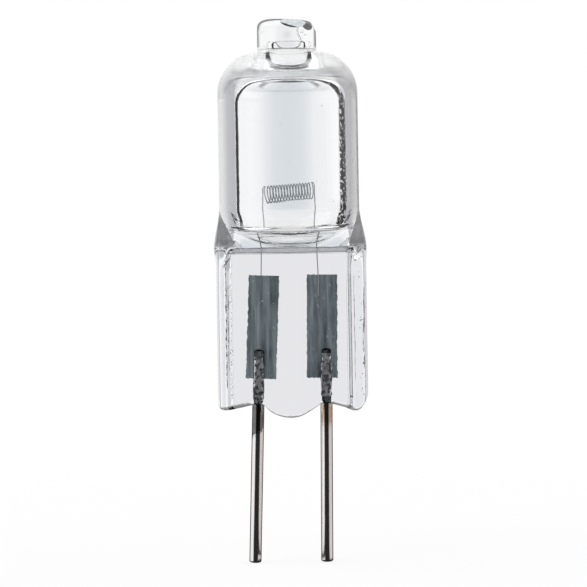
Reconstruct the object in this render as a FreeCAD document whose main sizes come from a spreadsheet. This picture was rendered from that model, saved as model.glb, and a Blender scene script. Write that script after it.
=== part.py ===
import FreeCAD, Part
import math
import os
import re
import Sketcher
from FreeCAD import Placement, Rotation, Vector

# Low-voltage halogen capsule lamp with a two-pin base.
# A quartz tube is drawn in to a closed exhaust tip at the top and pinched flat at the bottom. The pinch
# seals two molybdenum foils, and each foil joins a contact pin to one leg of the tungsten filament.
# Millimetres, +Z along the bulb's axis towards the tip, +X across the pinch, the viewer at -Y.
# The origin lies between the pins, in the plane where they leave the glass.

SIZES = [
    ("bulb_diameter", 8.0, "outside of the tube"),
    ("bulb_wall", 0.95, "glass between the tube's outside and the cavity"),
    ("bulb_height", 20.3, "pin exit to the top of the shoulder"),
    ("shoulder_radius", 2.4, "outer round between the tube and its closed top"),
    ("crown_thickness", 1.7, "glass over the cavity"),
    ("cavity_corner_radius", 1.45, "round between the cavity's wall and its ceiling"),
    ("tip_diameter", 3.3, "outside of the exhaust tip"),
    ("tip_height", 1.85, "exhaust tip above the shoulder"),
    ("tip_edge_radius", 0.4, "melted edge of the tip"),
    ("exhaust_bore", 1.8, "bore of the exhaust tip"),
    ("exhaust_plug", 1.35, "melted glass that closes the bore"),
    ("exhaust_flare", 0.5, "cone where the bore opens into the cavity"),
    ("plug_drop", 1.4, "width of the drop in which the melted plug hangs into the bore"),
    ("plug_sag", 0.5, "height of that drop"),
    ("chip_across", 1.3, "middle of the chip in the tip, right of the bulb's axis"),
    ("chip_forward", 0.9, "middle of the chip in the tip, in front of the bulb's axis"),
    ("chip_above", 0.3, "middle of the chip's scoop above the tip's top"),
    ("chip_half_length", 1.75, "chip's scoop from its middle to its end, across"),
    ("chip_half_breadth", 1.2, "chip's scoop from its middle to its end, front to back"),
    ("chip_scoop", 0.9, "chip's scoop from its middle to its bottom"),
    ("ledge_height", 9.2, "pin exit to the upper edge of the pinch ledge"),
    ("flare_rise", 2.0, "ledge to where the flare runs out into the round tube"),
    ("ledge_drop", 0.5, "height of the sloping ledge"),
    ("crease_depth", 1.0, "front to back between the creases where they run out on the tube"),
    ("ledge_flat", 6.4, "width of the flattened front just above the ledge"),
    ("ledge_depth", 4.8, "front to back just above the ledge"),
    ("flare_bow", 1.2, "how far each side bows out beyond the flattened front"),
    ("pinch_width", 8.7, "across both ribs of the pinch"),
    ("rib_depth", 3.2, "front to back across a rib"),
    ("rib_face", 0.5, "flat front of a rib"),
    ("rib_bulge", 0.3, "how far the outer side of a rib bows out"),
    ("rib_slope", 0.3, "run of the sloping inner wall of a rib"),
    ("web_depth", 2.2, "front to back across the flat web between the ribs"),
    ("lobe_margin", 0.3, "pin axis to the edge of the rounded lobe between the pins"),
    ("lobe_drop", 0.57, "how far the lobe hangs below the pin exit"),
    ("left_foot_chamfer", 0.12, "lower outer corner of the left rib"),
    ("right_foot_chamfer", 0.5, "lower outer corner of the right rib"),
    ("floor_rise", 0.3, "ledge to the floor of the cavity"),
    ("throat_height", 1.5, "floor of the cavity to where it is round"),
    ("floor_flat", 4.4, "straight part of the cavity floor's long sides"),
    ("floor_bow", 0.45, "rounded end of the cavity floor"),
    ("floor_depth", 1.0, "cavity floor from front to back"),
    ("pin_spacing", 3.9, "between the pin axes at the pin exit"),
    ("pin_diameter", 0.65, "contact pin"),
    ("pin_length", 8.9, "free length of a pin below the pin exit"),
    ("pin_seal_diameter", 0.55, "pin inside the pinch"),
    ("pin_embedment", 3.25, "length of a pin inside the pinch"),
    ("pin_neck_start", 0.05, "pin exit to where a pin starts to widen"),
    ("pin_neck_length", 0.6, "taper from the narrow end of a pin to its contact"),
    ("pin_end_chamfer", 0.1, "bevelled free end of a pin"),
    ("pin_flat", 0.05, "depth of the flat that the foil is welded to"),
    ("pin_flat_lead", 0.15, "start of the flat below the foil"),
    ("left_pin_lean", 2.0, "degrees that the left pin leans towards -X at its free end"),
    ("right_pin_lean", 0.6, "degrees that the right pin leans towards -X at its free end"),
    ("foil_width", 1.74, "sealing foil"),
    ("foil_length", 5.9, "sealing foil"),
    ("foil_thickness", 0.03, "sealing foil"),
    ("foil_rise", 1.65, "pin exit to the lower edge of a foil"),
    ("left_foil_offset", 0.18, "left foil's lower middle, inwards from its pin"),
    ("right_foil_offset", 0.22, "right foil's lower middle, inwards from its pin"),
    ("left_foil_lean", 2.6, "degrees that the left foil leans towards +X at its top"),
    ("right_foil_lean", 0.8, "degrees that the right foil leans towards +X at its top"),
    ("wire_diameter", 0.1, "filament wire"),
    ("coil_diameter", 0.9, "filament coil, at the middle of its wire"),
    ("coil_pitch", 0.165, "one turn of the coil to the next"),
    ("coil_turns", 16, "whole turns of the coil, besides the half turn that parts its legs"),
    ("coil_rise", 2.77, "floor of the cavity to the middle of the coil"),
    ("coil_shift", -0.04, "middle of the coil, right of the bulb's axis"),
    ("coil_tilt", 4.0, "degrees that the coil rises towards +X"),
    ("coil_yaw", 4.5, "degrees that the coil's right end is turned to the front"),
    ("leg_lead", 0.45, "straight start of a leg below the coil"),
    ("leg_rise", 0.8, "foil's upper edge to where a leg turns to follow the foil"),
    ("leg_bend_radius", 2.0, "bends of a leg"),
    ("leg_overlap", 1.2, "length of a leg welded to its foil"),
    ("left_leg_offset", -0.15, "left leg's weld, right of the foil's middle"),
    ("right_leg_offset", -0.2, "right leg's weld, right of the foil's middle"),
    ("leg_flat", 0.02, "depth of the flat where a leg is welded to its foil"),
]

doc = FreeCAD.newDocument("halogen_capsule")
sheet = doc.addObject("Spreadsheet::Sheet", "Dimensions")
for row, (alias, value, meaning) in enumerate(SIZES, start=1):
    sheet.set(f"A{row}", meaning)
    sheet.set(f"B{row}", str(value))
    sheet.setAlias(f"B{row}", alias)
doc.recompute()

ALIASES = {alias for alias, value, meaning in SIZES}


def bound(formula):
    """A formula over the sheet's names, written as an expression that objects can be bound to."""
    def qualified(word):
        return "Dimensions." + word[0] if word[0] in ALIASES else word[0]

    return re.sub(r"[a-z_]+", qualified, formula)


def amount(formula):
    """The present value of a formula over the sheet's names."""
    return float(sheet.evalExpression(bound(formula)))


# Sketches

def new_body(name):
    return doc.addObject("PartDesign::Body", name)


def attach(feature, body, role):
    """Puts a feature on one of the body's origin planes."""
    plane = next(plane for plane in body.Origin.OriginFeatures if plane.Role == role)
    feature.AttachmentSupport = [(plane, "")]
    feature.MapMode = "FlatFace"


def new_sketch(body, role, name, height="0"):
    """A sketch on one of the body's origin planes, raised along the plane's normal by a formula."""
    sketch = body.newObject("Sketcher::SketchObject", name)
    attach(sketch, body, role)
    sketch.setExpression("AttachmentOffset.Base.z", bound(height))
    return sketch


def arc_between(start, end, radius, convex):
    """The shorter arc from start to end; convex bulges to the right of the way it runs."""
    chord = end - start
    half = chord.Length / 2
    sagitta = radius - math.sqrt(max(radius**2 - half**2, 0.0))
    right = Vector(chord.y, -chord.x, 0).normalize()
    middle = (start + end) / 2 + right * (sagitta if convex else -sagitta)
    return Part.Arc(start, middle, end)


def draw_outline(sketch, corners, arcs=None):
    """A closed outline, counter-clockwise, through corners given as pairs of formulas.

    Edges are straight, apart from those numbered in arcs: {edge: (formula of the radius, convex or not)}.
    """
    arcs = arcs or {}
    points = [Vector(amount(across), amount(up), 0) for across, up in corners]
    edges = []
    for number, start in enumerate(points):
        end = points[(number + 1) % len(points)]
        if number in arcs:
            radius, convex = arcs[number]
            index = sketch.addGeometry(arc_between(start, end, amount(radius), convex), False)
            bind(sketch, Sketcher.Constraint("Radius", index, amount(radius)), radius)
            edges.append((index, 1, 2) if convex else (index, 2, 1))
        else:
            edges.append((sketch.addGeometry(Part.LineSegment(start, end), False), 1, 2))
    for number, (index, first, last) in enumerate(edges):
        next_index, next_first, next_last = edges[(number + 1) % len(edges)]
        sketch.addConstraint(Sketcher.Constraint("Coincident", index, last, next_index, next_first))
        across, up = corners[number]
        bind(sketch, Sketcher.Constraint("DistanceX", -1, 1, index, first, amount(across)), across)
        bind(sketch, Sketcher.Constraint("DistanceY", -1, 1, index, first, amount(up)), up)


def bind(sketch, constraint, formula):
    index = sketch.addConstraint(constraint)
    sketch.setExpression(f"Constraints[{index}]", bound(formula))


def draw_section(sketch, half_flat, half_depth, end_radius, front_radius=None):
    """A cross-section with the same four edges at every height: front, right end, back and left end."""
    left, front = f"-({half_flat})", f"-({half_depth})"
    corners = [(left, front), (half_flat, front), (half_flat, half_depth), (left, half_depth)]
    arcs = {1: (end_radius, True), 3: (end_radius, True)}
    if front_radius:
        arcs.update({0: (front_radius, True), 2: (front_radius, True)})
    draw_outline(sketch, corners, arcs)


def draw_circle_section(sketch, radius, crease):
    """A circle in the same four edges, split where the creases meet it."""
    reach = f"({crease}) / 2"
    draw_section(sketch, f"sqrt(({radius})^2 - ({reach})^2)", reach, radius, front_radius=radius)


def bowed_radius(half_depth, bulge):
    """Radius of an end that bows out by bulge over twice half_depth."""
    return f"((({half_depth})^2 + ({bulge})^2) / (2 * ({bulge})))"


# Features

def add_feature(body, kind, name, profile, **properties):
    feature = body.newObject("PartDesign::" + kind, name)
    feature.Profile = profile
    for key, value in properties.items():
        setattr(feature, key, value)
    return feature


def add_loft(body, kind, name, lower, upper):
    return add_feature(body, kind, name, lower, Sections=[upper], Ruled=False, Closed=False)


def add_turned(body, kind, name, sketch):
    return add_feature(body, kind, name, sketch, ReferenceAxis=(sketch, ["V_Axis"]), Angle=360.0)


def add_chamfer(body, name, base, size, chosen):
    """A chamfer on the edges of base that the test picks out."""
    doc.recompute()
    names = [f"Edge{i}" for i, edge in enumerate(base.Shape.Edges, start=1) if chosen(edge)]
    feature = body.newObject("PartDesign::Chamfer", name)
    feature.Base = (base, names)
    feature.setExpression("Size", bound(size))
    return feature


# Quartz envelope: one piece of glass

SIDES = {"left": -1, "right": 1}
TINY = 1e-4

TUBE_RADIUS = "bulb_diameter / 2"
TUBE_START = "(ledge_height + flare_rise)"
TIP_RADIUS = "tip_diameter / 2"
TIP_TOP = "(bulb_height + tip_height)"
LEDGE_FOOT = "(ledge_height - ledge_drop)"
PINCH_HALF_FLAT = "(pinch_width / 2 - rib_bulge)"
RIB_END_RADIUS = bowed_radius("rib_depth / 2", "rib_bulge")
CAVITY_RADIUS = "(bulb_diameter / 2 - bulb_wall)"
CAVITY_FLOOR = "(ledge_height + floor_rise)"
CAVITY_BEND = "(ledge_height + floor_rise + throat_height)"
CAVITY_CEILING = "(bulb_height - crown_thickness)"
BORE_RADIUS = "exhaust_bore / 2"
BORE_END = "(bulb_height + tip_height - exhaust_plug)"

# The round and the cone of the cavity's ceiling share the width between the wall and the bore.
CEILING_WIDTH = f"({CAVITY_RADIUS} - {BORE_RADIUS})"
CORNER_SHARE = 0.7
FLARE_SHARE = 0.25
CAVITY_CORNER = f"min(cavity_corner_radius; {CORNER_SHARE} * {CEILING_WIDTH})"
BORE_FLARE = f"min(exhaust_flare; {FLARE_SHARE} * {CEILING_WIDTH})"


def add_tube(body):
    """The round tube with its shoulder, closed at the top."""
    sketch = new_sketch(body, "XZ_Plane", "tube_outline")
    corners = [
        ("0", TUBE_START),
        (TUBE_RADIUS, TUBE_START),
        (TUBE_RADIUS, "bulb_height - shoulder_radius"),
        ("bulb_diameter / 2 - shoulder_radius", "bulb_height"),
        ("0", "bulb_height"),
    ]
    draw_outline(sketch, corners, {2: ("shoulder_radius", True)})
    add_turned(body, "Revolution", "tube", sketch)


def add_tip(body):
    """The exhaust tip, rooted in the crown and rounded by the flame."""
    sketch = new_sketch(body, "XZ_Plane", "tip_outline")
    root = "bulb_height - crown_thickness / 2"
    corners = [
        ("0", root),
        (TIP_RADIUS, root),
        (TIP_RADIUS, f"{TIP_TOP} - tip_edge_radius"),
        (f"{TIP_RADIUS} - tip_edge_radius", TIP_TOP),
        ("0", TIP_TOP),
    ]
    draw_outline(sketch, corners, {2: ("tip_edge_radius", True)})
    add_turned(body, "Revolution", "tip", sketch)


def chip_tip(body):
    """The scoop broken out of the tip's rim at the front right."""
    chip = body.newObject("PartDesign::SubtractiveEllipsoid", "tip_chip")
    attach(chip, body, "XY_Plane")
    chip.setExpression("AttachmentOffset.Base.x", bound("chip_across"))
    chip.setExpression("AttachmentOffset.Base.y", bound("-chip_forward"))
    chip.setExpression("AttachmentOffset.Base.z", bound(f"{TIP_TOP} + chip_above"))
    chip.setExpression("Radius1", bound("chip_scoop"))
    chip.setExpression("Radius2", bound("chip_half_length"))
    chip.setExpression("Radius3", bound("chip_half_breadth"))


def add_flare(body):
    """The stretch where the round tube flattens towards the pinch, and the sloping ledge below it."""
    round_end = new_sketch(body, "XY_Plane", "flare_round_end", TUBE_START)
    draw_circle_section(round_end, TUBE_RADIUS, "crease_depth")
    flat_end = new_sketch(body, "XY_Plane", "flare_flat_end", "ledge_height")
    half_depth = "ledge_depth / 2"
    draw_section(flat_end, "ledge_flat / 2", half_depth, bowed_radius(half_depth, "flare_bow"))
    foot = new_sketch(body, "XY_Plane", "ledge_foot", LEDGE_FOOT)
    draw_section(foot, PINCH_HALF_FLAT, "rib_depth / 2", RIB_END_RADIUS)
    add_loft(body, "AdditiveLoft", "flare", round_end, flat_end)
    add_loft(body, "AdditiveLoft", "ledge", flat_end, foot)


def add_pinch(body):
    """The pinch: a thin web between two thicker ribs, with bevelled outer feet."""
    sketch = new_sketch(body, "XY_Plane", "pinch_section")
    rib_inner = f"({PINCH_HALF_FLAT} - rib_face)"
    web_end = f"({rib_inner} - rib_slope)"
    web, rib = "web_depth / 2", "rib_depth / 2"
    right_front = [(web_end, f"-{web}"), (rib_inner, f"-{rib}"), (PINCH_HALF_FLAT, f"-{rib}")]
    right_back = [(PINCH_HALF_FLAT, rib), (rib_inner, rib), (web_end, web)]
    left_back = [(f"-{across}", up) for across, up in reversed(right_back)]
    left_front = [(f"-{across}", up) for across, up in reversed(right_front)]
    ends = {2: (RIB_END_RADIUS, True), 8: (RIB_END_RADIUS, True)}
    draw_outline(sketch, right_front + right_back + left_back + left_front, ends)
    pinch = add_feature(body, "Pad", "pinch", sketch)
    pinch.setExpression("Length", bound(LEDGE_FOOT))

    def at_foot(edge, sign):
        outer = sign * edge.CenterOfMass.x > amount(PINCH_HALF_FLAT)
        return outer and edge.BoundBox.ZMax < TINY

    base = pinch
    for side, sign in SIDES.items():
        size = side + "_foot_chamfer"
        base = add_chamfer(body, side + "_foot", base, size, lambda edge: at_foot(edge, sign))


def add_lobe(body):
    """The rounded lobe of the web that hangs between the pins."""
    sketch = new_sketch(body, "XZ_Plane", "lobe_outline")
    half = "(pin_spacing / 2 - lobe_margin)"
    corners = [
        (f"-{half}", "0"),
        (half, "0"),
        (half, "lobe_drop"),
        (f"-{half}", "lobe_drop"),
    ]
    draw_outline(sketch, corners, {0: (bowed_radius(half, "lobe_drop"), True)})
    lobe = add_feature(body, "Pad", "lobe", sketch, Midplane=True)
    lobe.setExpression("Length", bound("web_depth"))


def cut_cavity(body):
    """The sealed cavity: a round chamber, open to the exhaust bore, that flattens to a narrow floor."""
    sketch = new_sketch(body, "XZ_Plane", "cavity_outline")
    corners = [
        ("0", CAVITY_BEND),
        (CAVITY_RADIUS, CAVITY_BEND),
        (CAVITY_RADIUS, f"{CAVITY_CEILING} - {CAVITY_CORNER}"),
        (f"{CAVITY_RADIUS} - {CAVITY_CORNER}", CAVITY_CEILING),
        (f"{BORE_RADIUS} + {BORE_FLARE}", CAVITY_CEILING),
        (BORE_RADIUS, f"{CAVITY_CEILING} + {BORE_FLARE}"),
        (BORE_RADIUS, BORE_END),
        ("plug_drop / 2", BORE_END),
        ("0", f"{BORE_END} - plug_sag"),
    ]
    arcs = {2: (CAVITY_CORNER, True), 7: (bowed_radius("plug_drop / 2", "plug_sag"), False)}
    draw_outline(sketch, corners, arcs)
    add_turned(body, "Groove", "cavity", sketch)
    round_end = new_sketch(body, "XY_Plane", "cavity_round_end", CAVITY_BEND)
    draw_circle_section(round_end, CAVITY_RADIUS, "crease_depth")
    floor = new_sketch(body, "XY_Plane", "cavity_floor_outline", CAVITY_FLOOR)
    draw_section(floor, "floor_flat / 2", "floor_depth / 2", bowed_radius("floor_depth / 2", "floor_bow"))
    add_loft(body, "SubtractiveLoft", "cavity_throat", round_end, floor)


def make_glass():
    body = new_body("glass")
    add_tube(body)
    add_tip(body)
    chip_tip(body)
    add_flare(body)
    add_pinch(body)
    add_lobe(body)
    cut_cavity(body)
    return body


# Contact pins and sealing foils

PIN_RADIUS = "pin_diameter / 2"
PIN_SEAL_RADIUS = "pin_seal_diameter / 2"
FOIL_FRONT = "(pin_seal_diameter / 2 - pin_flat)"


def place(body, across, back, up, lean):
    """Stands a body at a point given by formulas, leaning about Y by a formula in degrees."""
    body.Placement = Placement(Vector(), Rotation(Vector(0, 1, 0), amount(lean)))
    body.setExpression("Placement.Base.x", bound(across))
    body.setExpression("Placement.Base.y", bound(back))
    body.setExpression("Placement.Base.z", bound(up))
    body.setExpression("Placement.Rotation.Angle", bound(lean))


def make_pin(side):
    """A wire pin, bevelled at its free end, narrower in the glass and flat at the back of its weld."""
    body = new_body(side + "_pin")
    sketch = new_sketch(body, "XZ_Plane", side + "_pin_outline")
    corners = [
        ("0", "-pin_length"),
        (f"{PIN_RADIUS} - pin_end_chamfer", "-pin_length"),
        (PIN_RADIUS, "pin_end_chamfer - pin_length"),
        (PIN_RADIUS, "-(pin_neck_start + pin_neck_length)"),
        (PIN_SEAL_RADIUS, "-pin_neck_start"),
        (PIN_SEAL_RADIUS, "pin_embedment"),
        ("0", "pin_embedment"),
    ]
    draw_outline(sketch, corners)
    add_turned(body, "Revolution", side + "_pin_wire", sketch)
    flat = new_sketch(body, "YZ_Plane", side + "_pin_flat_outline")
    flat_start = "foil_rise - pin_flat_lead"
    corners = [
        (FOIL_FRONT, flat_start),
        ("pin_diameter", flat_start),
        ("pin_diameter", "2 * pin_embedment"),
        (FOIL_FRONT, "2 * pin_embedment"),
    ]
    draw_outline(flat, corners)
    cut = add_feature(body, "Pocket", side + "_pin_flat", flat, Midplane=True)
    cut.setExpression("Length", bound("2 * pin_diameter"))
    sign = SIDES[side]
    place(body, f"{sign} * pin_spacing / 2", "0", "0", f"{side}_pin_lean")
    return body


def foil_middle(side):
    """Formula for where the middle of a foil's lower edge lies across the pinch."""
    sign = SIDES[side]
    return f"({sign} * (pin_spacing / 2 - {side}_foil_offset))"


def make_foil(side):
    """A strip of sealing foil that lies against the flat of its pin."""
    body = new_body(side + "_foil")
    sketch = new_sketch(body, "XZ_Plane", side + "_foil_outline")
    half = "foil_width / 2"
    corners = [(f"-{half}", "0"), (half, "0"), (half, "foil_length"), (f"-{half}", "foil_length")]
    draw_outline(sketch, corners)
    strip = add_feature(body, "Pad", side + "_foil_strip", sketch, Midplane=True)
    strip.setExpression("Length", bound("foil_thickness"))
    middle = f"{FOIL_FRONT} + foil_thickness / 2"
    place(body, foil_middle(side), middle, "foil_rise", f"{side}_foil_lean")
    return body


# Filament: one length of wire, coiled across the bulb, with its two ends as legs

COIL_TURNS = "(floor(coil_turns) + 0.5)"
WIRE_FACES = 6


def rounded_path(points, radius):
    """Straight runs through the points, joined by tangent arcs."""
    edges = []
    start = points[0]
    for before, corner, after in zip(points, points[1:], points[2:]):
        back = (before - corner).normalize()
        ahead = (after - corner).normalize()
        setback = radius / math.tan(back.getAngle(ahead) / 2)
        inward = (back + ahead).normalize()
        middle = corner + inward * (math.hypot(setback, radius) - radius)
        edges.append(Part.LineSegment(start, corner + back * setback).toShape())
        edges.append(Part.Arc(corner + back * setback, middle, corner + ahead * setback).toShape())
        start = corner + ahead * setback
    edges.append(Part.LineSegment(start, points[-1]).toShape())
    return edges


def coil_frame():
    """The turn and place that take a coil about Z to the filament's coil, its start at the back."""
    tilt, yaw = math.radians(amount("coil_tilt")), math.radians(amount("coil_yaw"))
    along = Vector(math.cos(tilt) * math.cos(yaw), -math.cos(tilt) * math.sin(yaw), math.sin(tilt))
    back = Vector(0, 0, 1).cross(along).normalize()
    start = Vector(amount("coil_shift"), 0, amount(f"{CAVITY_FLOOR} + coil_rise"))
    start -= along * amount(f"{COIL_TURNS} * coil_pitch / 2")
    return Placement(start, Rotation(back, along.cross(back), along, "XYZ"))


def leg_points(side, start, downward):
    """The corners of a leg from the coil's end to its weld on the foil."""
    standoff = amount("foil_thickness / 2 + wire_diameter / 2 - leg_flat")
    behind = -SIDES[side]
    depth = amount(f"{FOIL_FRONT} + foil_thickness / 2") + behind * standoff
    lean = math.tan(math.radians(amount(f"{side}_foil_lean")))
    rise = amount("foil_rise")

    def on_foil(height):
        across = amount(f"{foil_middle(side)} + {side}_leg_offset")
        return Vector(across + lean * (height - rise), depth, height)

    bend = amount("foil_rise + foil_length + leg_rise")
    weld_end = amount("foil_rise + foil_length - leg_overlap")
    lead_end = start + downward * amount("leg_lead")
    return [start, lead_end, on_foil(bend), on_foil(weld_end)]


def make_filament(foils):
    """The coil and both legs as one swept wire, flat where the legs are welded to the foils."""
    radius, pitch, turns = amount("coil_diameter / 2"), amount("coil_pitch"), amount(COIL_TURNS)
    frame = coil_frame()
    coil = Part.makeHelix(pitch, pitch * turns, radius)
    coil.Placement = frame
    slope = Vector(0, radius, pitch / (2 * math.pi)).normalize()
    first_down = frame.Rotation.multVec(slope * -1)
    first = frame.multVec(Vector(radius, 0, 0))
    last_down = frame.Rotation.multVec(Vector(0, -slope.y, slope.z))
    last = frame.multVec(Vector(-radius, 0, pitch * turns))
    bend = amount("leg_bend_radius")
    left_leg = rounded_path(leg_points("left", first, first_down), bend)
    right_leg = rounded_path(leg_points("right", last, last_down), bend)
    wire = sweep_wire(left_leg + coil.Edges + right_leg, amount("wire_diameter / 2"))
    for foil in foils:
        wire = wire.cut(foil.Shape)
    filament = doc.addObject("Part::Feature", "filament")
    filament.Shape = wire
    return filament


def sweep_wire(edges, radius):
    """A wire of WIRE_FACES flat sides swept along edges that run on smoothly from one to the next."""
    path = Part.Wire(Part.__sortEdges__(edges))
    start = path.OrderedEdges[0]
    parameter = start.FirstParameter if start.Orientation == "Forward" else start.LastParameter
    rim = Part.Circle(start.valueAt(parameter), start.tangentAt(parameter), radius)
    corners = rim.discretize(Number=WIRE_FACES + 1)
    return path.makePipeShell([Part.makePolygon(corners)], True, False)


# Assembly

def cut_for(base, tools, name):
    """Takes each tool out of base in turn."""
    for number, tool in enumerate(tools, start=1):
        cut = doc.addObject("Part::Cut", f"{name}_{number}")
        cut.Base = base
        cut.Tool = tool
        base = cut
    return base


glass = make_glass()
pins = [make_pin(side) for side in SIDES]
foils = [make_foil(side) for side in SIDES]
doc.recompute()
filament = make_filament(foils)
envelope = cut_for(glass, pins + foils + [filament], "seal")
envelope.Label = "quartz_envelope"
doc.recompute()

SUB_PARTS = [envelope, *pins, *foils, filament]
failed = [thing.Name for thing in doc.Objects if {"Invalid", "Error"} & set(thing.State)]
unsound = [part.Label for part in SUB_PARTS if part.Shape.isNull() or not part.Shape.isValid()]
if failed or unsound:
    raise RuntimeError(f"failed features: {failed}, unsound sub-parts: {unsound}")

os.makedirs("parts", exist_ok=True)
for part in SUB_PARTS:
    part.Shape.exportStep(os.path.join("parts", part.Label + ".step"))
    print(part.Label, "solids", len(part.Shape.Solids), "volume", round(part.Shape.Volume, 4))
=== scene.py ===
import math
import random

import bmesh
import bpy
from mathutils import Matrix, Vector, noise


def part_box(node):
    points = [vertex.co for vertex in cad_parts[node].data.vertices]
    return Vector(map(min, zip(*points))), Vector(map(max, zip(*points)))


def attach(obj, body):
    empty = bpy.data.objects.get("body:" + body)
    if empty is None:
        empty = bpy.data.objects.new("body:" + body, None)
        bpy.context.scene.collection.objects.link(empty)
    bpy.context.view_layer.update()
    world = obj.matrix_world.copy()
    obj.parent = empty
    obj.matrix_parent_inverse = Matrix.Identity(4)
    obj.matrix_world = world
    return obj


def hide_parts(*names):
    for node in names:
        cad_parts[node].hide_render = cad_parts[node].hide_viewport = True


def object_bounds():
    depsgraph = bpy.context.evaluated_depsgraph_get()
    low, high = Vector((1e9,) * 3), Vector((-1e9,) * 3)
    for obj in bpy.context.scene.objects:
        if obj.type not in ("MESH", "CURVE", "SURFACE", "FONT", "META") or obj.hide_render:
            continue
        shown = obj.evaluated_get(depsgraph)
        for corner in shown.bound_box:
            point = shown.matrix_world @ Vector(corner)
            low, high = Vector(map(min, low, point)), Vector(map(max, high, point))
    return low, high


# Two-pin halogen capsule lamp: clear quartz with a sealed cavity, a coiled filament, two sealing foils in
# the flat pinch and two wire pins. Sizes are millimetres in the frame of the CAD model: +Z to the tip,
# +X across the pinch, the viewer at -Y. Meshes are scaled to metres when they are made.

MM = 0.001
SEED = 7

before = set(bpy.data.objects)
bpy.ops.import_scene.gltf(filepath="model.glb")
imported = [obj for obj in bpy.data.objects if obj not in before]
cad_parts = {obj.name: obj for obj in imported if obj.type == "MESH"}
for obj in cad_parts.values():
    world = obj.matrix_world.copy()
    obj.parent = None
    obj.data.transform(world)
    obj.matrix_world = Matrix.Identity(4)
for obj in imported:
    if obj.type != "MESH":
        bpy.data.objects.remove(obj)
cad_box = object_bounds()
_, glass_high = (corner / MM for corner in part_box("quartz_envelope"))
floor_level = cad_box[0].z / MM

# Outer glass. TIP_EDGE is the width and height of the melted edge, part of a squarish ellipse. The melted tip
# sinks by TIP_SLUMP, by TIP_LEAN more for each millimetre to the right, and dips in its middle.
TUBE_RADIUS = glass_high.y
TIP_CLEARANCE = 0.01
TIP_TOP = glass_high.z - TIP_CLEARANCE
SHOULDER_TOP = 20.3
SHOULDER_RADIUS = 2.4
SHOULDER_SWEEP = math.radians(80)
TIP_RADIUS = 1.68
TIP_EDGE = (0.75, 0.55)
TIP_ROOT = 0.12
TIP_DIP = 0.06
TIP_SLUMP = 0.05
TIP_LEAN = 0.045
MELT_RISE = 0.6
MELT_WAVE = 0.012
EDGE_POWER = 2.3
FLARE_TOP = 11.3
FLARE_EASE = 0.6
LEDGE_TOP = 9.17
LEDGE_FOOT = 8.8
RIB_SETTLED = 8.0
CREASE_ANGLE = math.radians(82)
RIB_ANGLES = (math.radians(85), math.radians(87.5))
LEDGE_DEPTH = 2.4
WEB_DEPTH = 1.1
PRESS_WAVE = 0.014
FOOT_START = 1.2
FOOT_ROUND = 0.24
FOOT_TURNS = (1.0, 0.75, 0.5, 0.25)

# Rows of the pinch and the flare: lower end, upper end and step.
ROW_SPANS = ((FOOT_START, 8.4, 0.3), (8.4, 9.6, 0.04), (9.6, FLARE_TOP, 0.085))

# Each side of the pinch: points (across, depth) of the crease, the rib's inner and outer edge and its
# widest point, first at the ledge and then down the rib.
PINCH = {
    -1: {
        "ledge": [(3.05, 2.35), (3.5, 1.9), (4.0, 1.2), (4.35, 0.0)],
        "rib": [(3.36, 1.1), (3.78, 1.6), (4.04, 1.5), (4.24, 0.0)],
    },
    1: {
        "ledge": [(3.3, 2.35), (3.65, 1.9), (4.08, 1.2), (4.39, 0.0)],
        "rib": [(3.25, 1.1), (3.46, 1.6), (4.1, 1.5), (4.36, 0.0)],
    },
}
QUARTER_STEPS = (26, 6, 5, 8)

# Lower edge of the pinch, left to right: (across, height).
FOOT_LINE = [
    (-4.4, -0.02), (-4.0, -0.06), (-3.2, 0.04), (-2.4, 0.2), (-1.75, 0.18), (-1.33, -0.23), (-0.74, -0.49),
    (-0.1, -0.57), (0.5, -0.51), (1.03, -0.27), (1.5, 0.02), (1.75, 0.2), (2.4, 0.2), (3.2, 0.0),
    (3.85, -0.18), (4.1, 0.05), (4.4, 0.62),
]

# Cavity. A corner is its width and height; the lines are (radius, height), the bore's from the ceiling up and
# then that of the drop of melted glass that hangs into it.
CAVITY_RADIUS = 3.08
CAVITY_SHIFT = 0.08
CAVITY_TOP = 18.68
CAVITY_CORNER = (0.9, 1.45)
CAVITY_FLOOR = 10.15
FLOOR_CORNER = (0.3, 0.35)
FLOOR_POWER = 3.2
THROAT_INSET = 0.1
WALL = 0.95
BORE_LINE = [
    (2.1, 18.69), (1.8, 18.75), (1.6, 18.92), (1.32, 19.2), (1.04, 19.5), (0.9, 19.8), (0.95, 20.7),
    (0.88, 20.84),
]
DROP_LINE = [(0.74, 20.84), (0.7, 20.7), (0.58, 20.5), (0.38, 20.36), (0.16, 20.31)]
CAVITY_COLUMNS = 128

# Breaks at the tip, each a plane (place, normal) and how pale the broken face is painted, partly its own
# paleness and partly painted light and shade.
CHIPS = [
    ((-0.35, -1.543, 21.87), (0.224, -0.66, 0.712), 0.8),
    ((1.36, 0.0, 21.93), (0.865, 0.0, 0.5), 0.7),
    ((1.136, -1.137, 21.66), (0.69, -0.65, 0.28), 0.26),
]
CHIP_START = 20.9
LIP_START = CHIPS[0][0]
LIP_UP = (0.205, 0.746, 0.627)
# Centre of the painted dark spot, a painted shade, on the tip's front.
TIP_SHADE_SPOT = (0.03, -1.66, 21.16)
CRACK = [
    (0.62, -1.3, 21.58), (0.6, -1.32, 21.3), (0.68, -1.3, 21.05), (0.76, -1.25, 20.85), (0.7, -1.25, 20.6),
]
CRACK_RADIUS = 0.05
CRACK_WAVE = 0.02

# Loose flakes beside the crack: place and half size.
FLAKES = [(0.86, -1.36, 21.36, 0.11), (1.04, -1.2, 21.16, 0.06)]

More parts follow.
